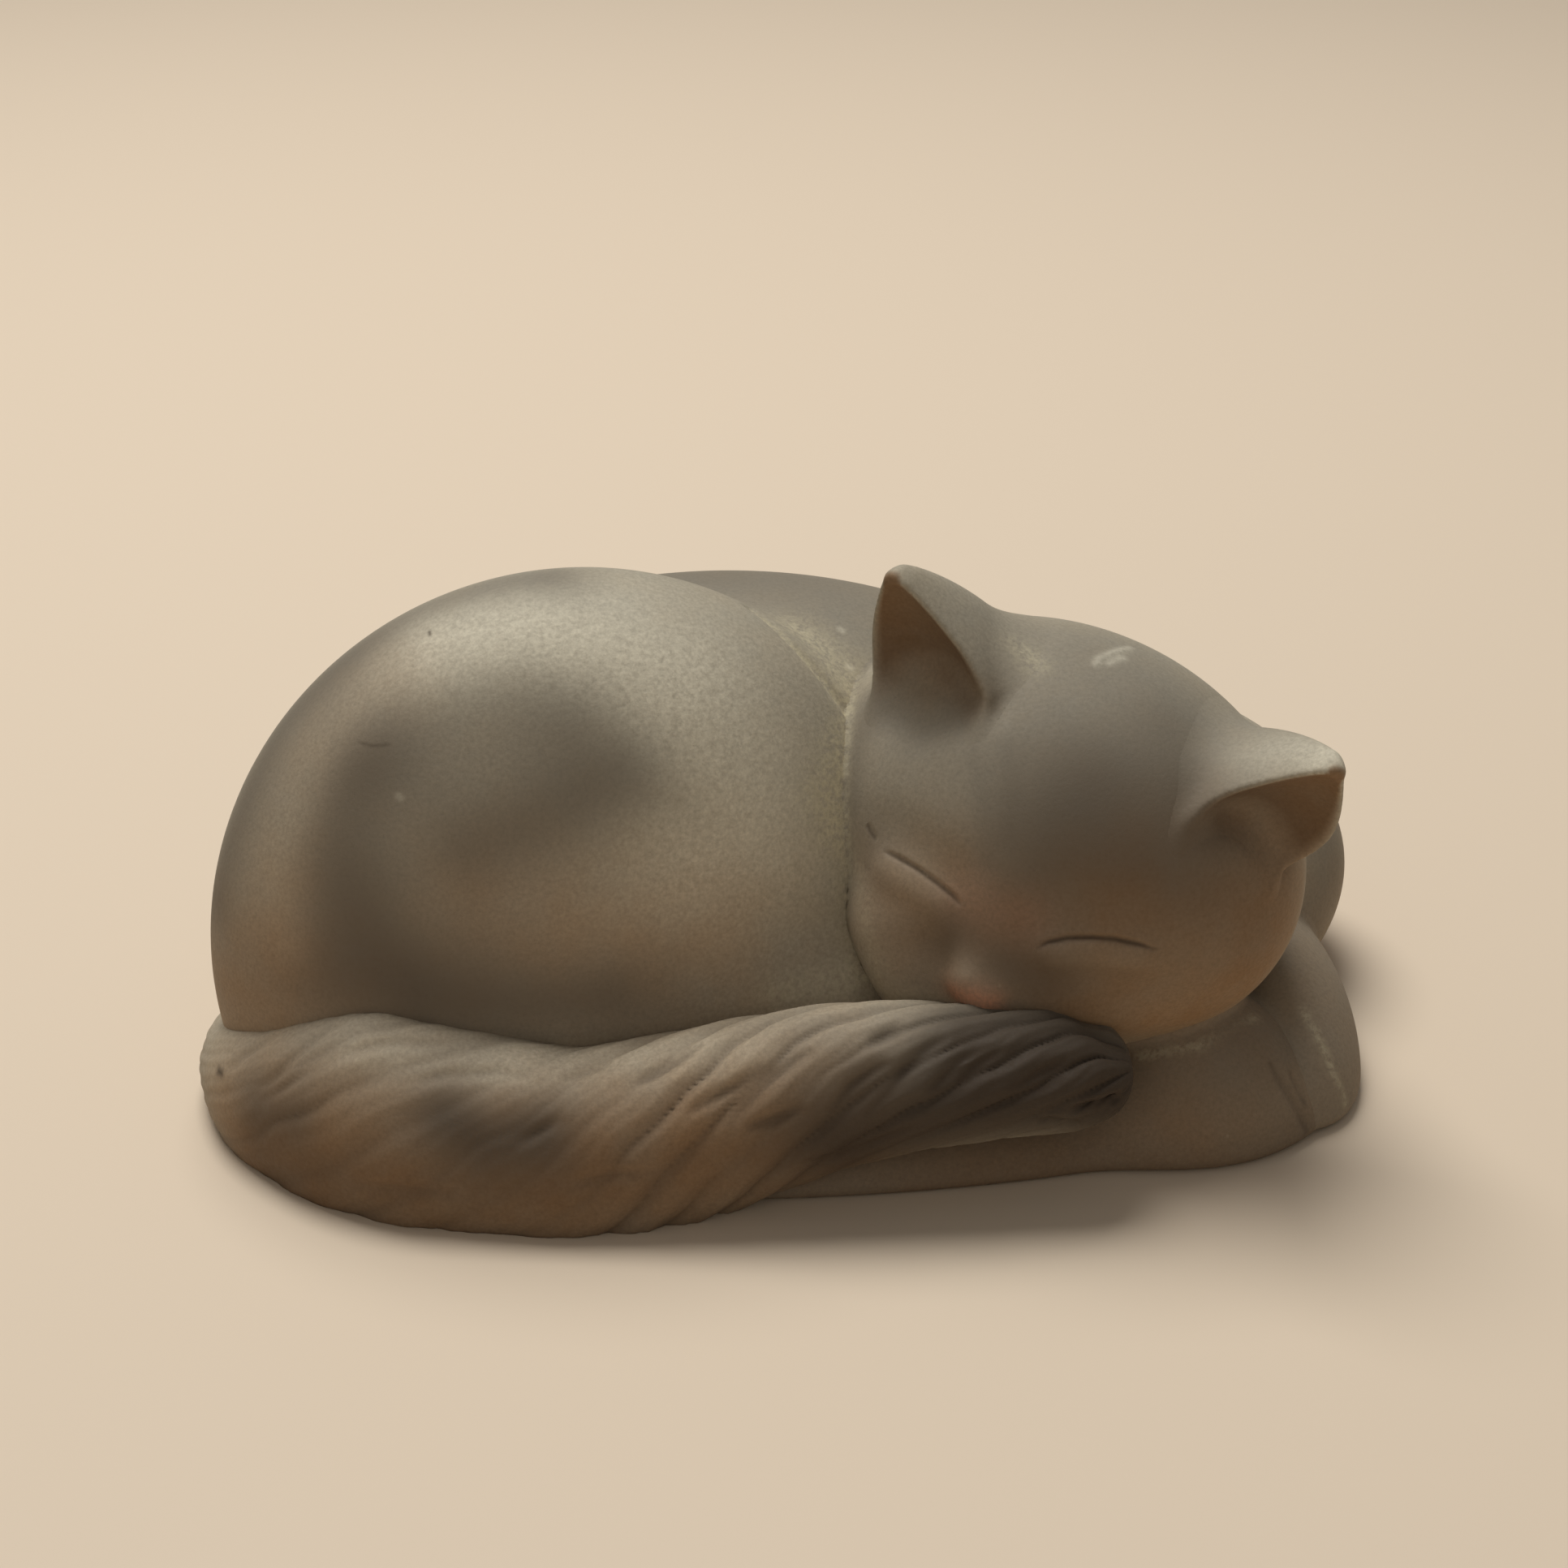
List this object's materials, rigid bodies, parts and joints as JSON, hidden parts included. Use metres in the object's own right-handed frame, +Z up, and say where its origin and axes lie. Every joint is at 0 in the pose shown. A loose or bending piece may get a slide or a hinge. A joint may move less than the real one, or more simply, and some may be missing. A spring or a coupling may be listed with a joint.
{
  "type": "cat figurine",
  "caption": "Curled sleeping cat in matte unglazed porcelain: hollow body and head castings with ears, tail and forelegs luted on, resting on a flat underside.",
  "frame": {"origin": "under the middle of the figurine's outline, on the surface it stands on", "axes": "+X along the figurine's length towards the head's end, -Y the front that the face looks to, +Z up"},
  "size_m": [0.103, 0.0612, 0.0475],
  "materials": {
    "body_bisque": "matte bisque with airbrushed grey tabby markings",
    "head_bisque": "matte bisque, airbrushed grey on the brow and bridge, tan cheeks and a pink nose",
    "ear_bisque": "matte bisque, brownish in the hollow",
    "tail_bisque": "matte bisque, airbrushed dark patches and dark tip",
    "leg_bisque": "matte bisque, plain"
  },
  "bodies": {
    "root": {"body_casting": "body_bisque", "head_casting": "head_bisque", "ear_left": "ear_bisque", "ear_right": "ear_bisque", "tail": "tail_bisque", "near_foreleg": "leg_bisque", "far_foreleg": "leg_bisque"}
  },
  "joints": []
}
